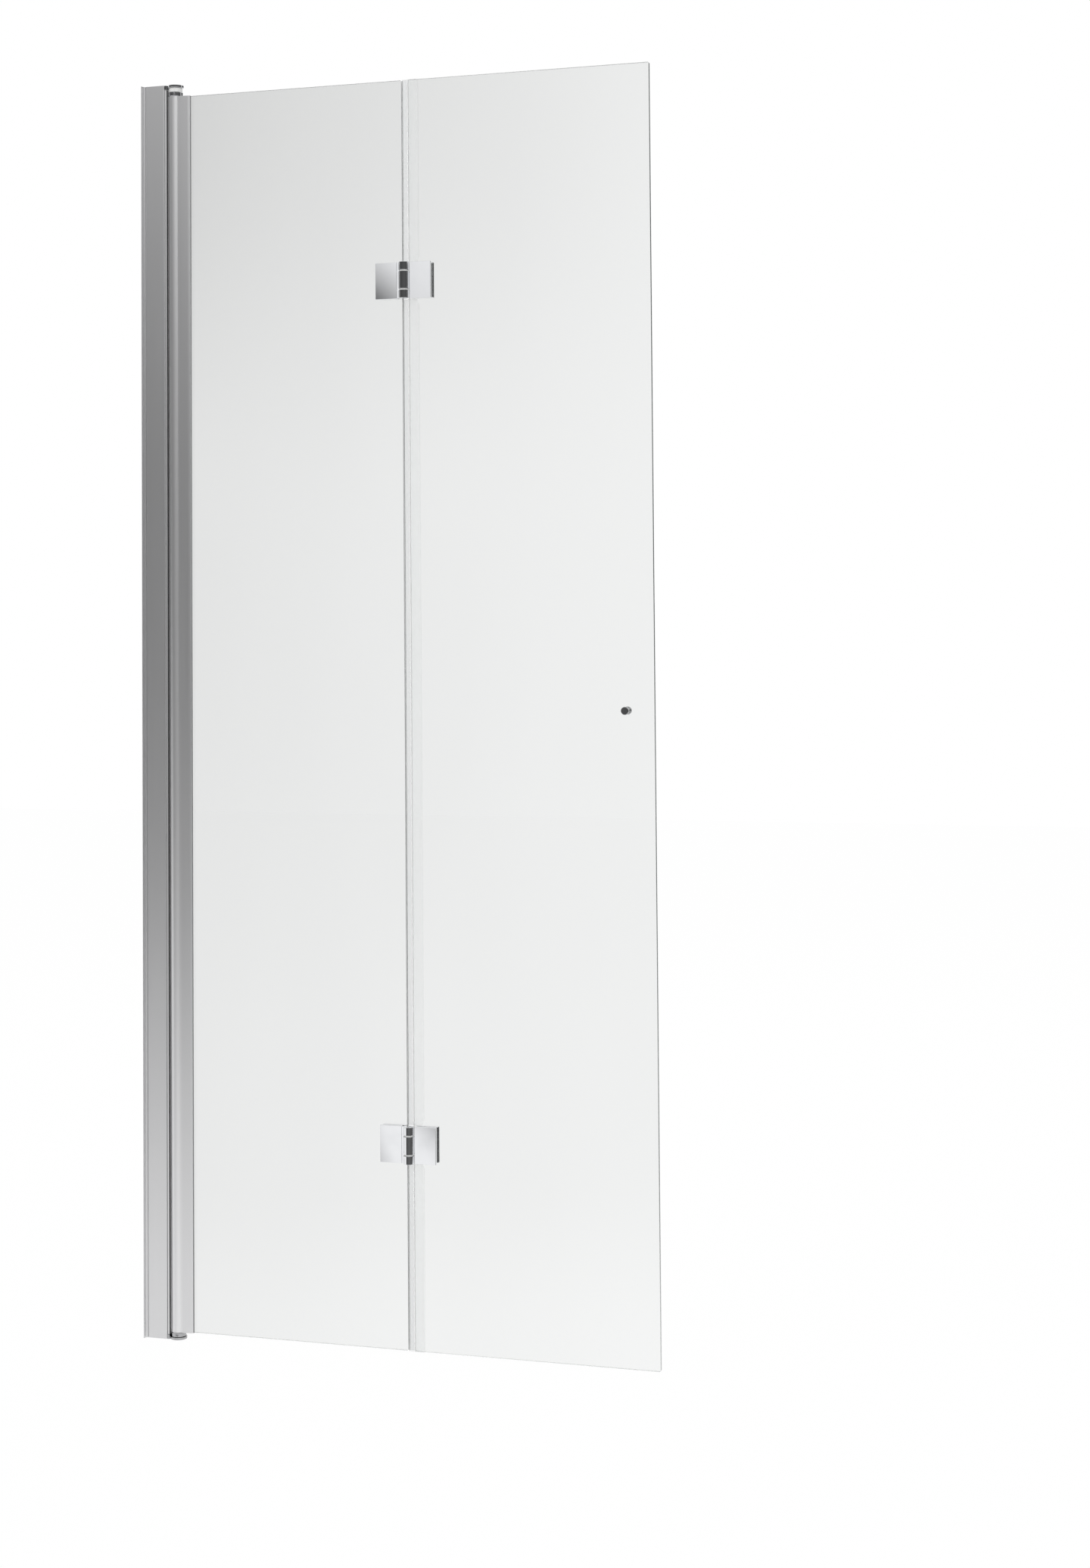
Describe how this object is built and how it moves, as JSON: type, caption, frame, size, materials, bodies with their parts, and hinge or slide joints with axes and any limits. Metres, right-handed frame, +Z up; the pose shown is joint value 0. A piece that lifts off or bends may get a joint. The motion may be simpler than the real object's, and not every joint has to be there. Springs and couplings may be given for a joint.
{
  "type": "folding shower screen",
  "caption": "Bi-fold glass shower screen that swings from a wall profile on pivots and folds back on itself at chrome barrel hinges.",
  "frame": {"origin": "middle of the wall channel's back face, on the wall plane, half way up and half way through the screen", "axes": "+X out from the wall along the open screen, +Z up; the hinge barrels and the seal strip of the jamb are on the -Y side"},
  "size_m": [0.8, 0.0319, 1.9],
  "materials": {
    "satin_aluminium": "satin anodised",
    "chrome": "polished chrome plate",
    "steel": "plain stainless steel",
    "glass": "clear toughened glass",
    "clear_vinyl": "clear soft vinyl",
    "black_rubber": "matt black rubber",
    "grey_rubber": "matt dark grey rubber",
    "nylon": "white nylon"
  },
  "bodies": {
    "wall_frame": {"wall_channel": "satin_aluminium", "jamb_profile": "satin_aluminium", "jamb_lip_seal": "black_rubber", "jamb_screw_1": "steel", "jamb_screw_2": "steel", "jamb_screw_3": "steel", "pivot_bracket_bottom": "chrome", "pivot_bracket_screw_bottom": "steel", "pivot_pin_bottom": "steel", "pivot_collar_bottom": "chrome", "collar_set_screw_bottom": "steel", "pivot_bracket_top": "chrome", "pivot_bracket_screw_top": "steel", "pivot_pin_top": "steel", "pivot_collar_top": "chrome", "collar_set_screw_top": "steel", "pivot_spacer_top": "nylon"},
    "inner_panel": {"swing_profile": "satin_aluminium", "glazing_gasket": "grey_rubber", "inner_glass": "glass", "pivot_bush_bottom": "nylon", "pivot_bush_top": "nylon", "lower_hinge_inner_leaf": "chrome", "lower_hinge_inner_plate": "chrome", "lower_hinge_inner_front_pad": "black_rubber", "lower_hinge_inner_rear_pad": "black_rubber", "lower_hinge_inner_screw_1": "steel", "lower_hinge_inner_screw_2": "steel", "lower_hinge_pin": "steel", "lower_hinge_washer_low": "nylon", "lower_hinge_washer_high": "nylon", "upper_hinge_inner_leaf": "chrome", "upper_hinge_inner_plate": "chrome", "upper_hinge_inner_front_pad": "black_rubber", "upper_hinge_inner_rear_pad": "black_rubber", "upper_hinge_inner_screw_1": "steel", "upper_hinge_inner_screw_2": "steel", "upper_hinge_pin": "steel", "upper_hinge_washer_low": "nylon", "upper_hinge_washer_high": "nylon"},
    "outer_panel": {"outer_glass": "glass", "lower_hinge_outer_leaf": "chrome", "lower_hinge_outer_plate": "chrome", "lower_hinge_outer_front_pad": "black_rubber", "lower_hinge_outer_rear_pad": "black_rubber", "lower_hinge_outer_screw_1": "steel", "lower_hinge_outer_screw_2": "steel", "upper_hinge_outer_leaf": "chrome", "upper_hinge_outer_plate": "chrome", "upper_hinge_outer_front_pad": "black_rubber", "upper_hinge_outer_rear_pad": "black_rubber", "upper_hinge_outer_screw_1": "steel", "upper_hinge_outer_screw_2": "steel", "fold_seal_low": "clear_vinyl", "fold_seal_middle": "clear_vinyl", "fold_seal_high": "clear_vinyl", "knob_front": "chrome", "knob_rear": "chrome", "knob_washer_front": "clear_vinyl", "knob_washer_rear": "clear_vinyl"}
  },
  "joints": [
    {"name": "door_swing", "type": "hinge", "parent": "wall_frame", "child": "inner_panel", "pos_m": [0.0515, 0, 0], "axis": [0, 0, 1], "range_deg": [-45, 90]},
    {"name": "fold", "type": "hinge", "parent": "inner_panel", "child": "outer_panel", "pos_m": [0.4252, -0.01, 0], "axis": [0, 0, -1], "range_deg": [0, 180]}
  ]
}
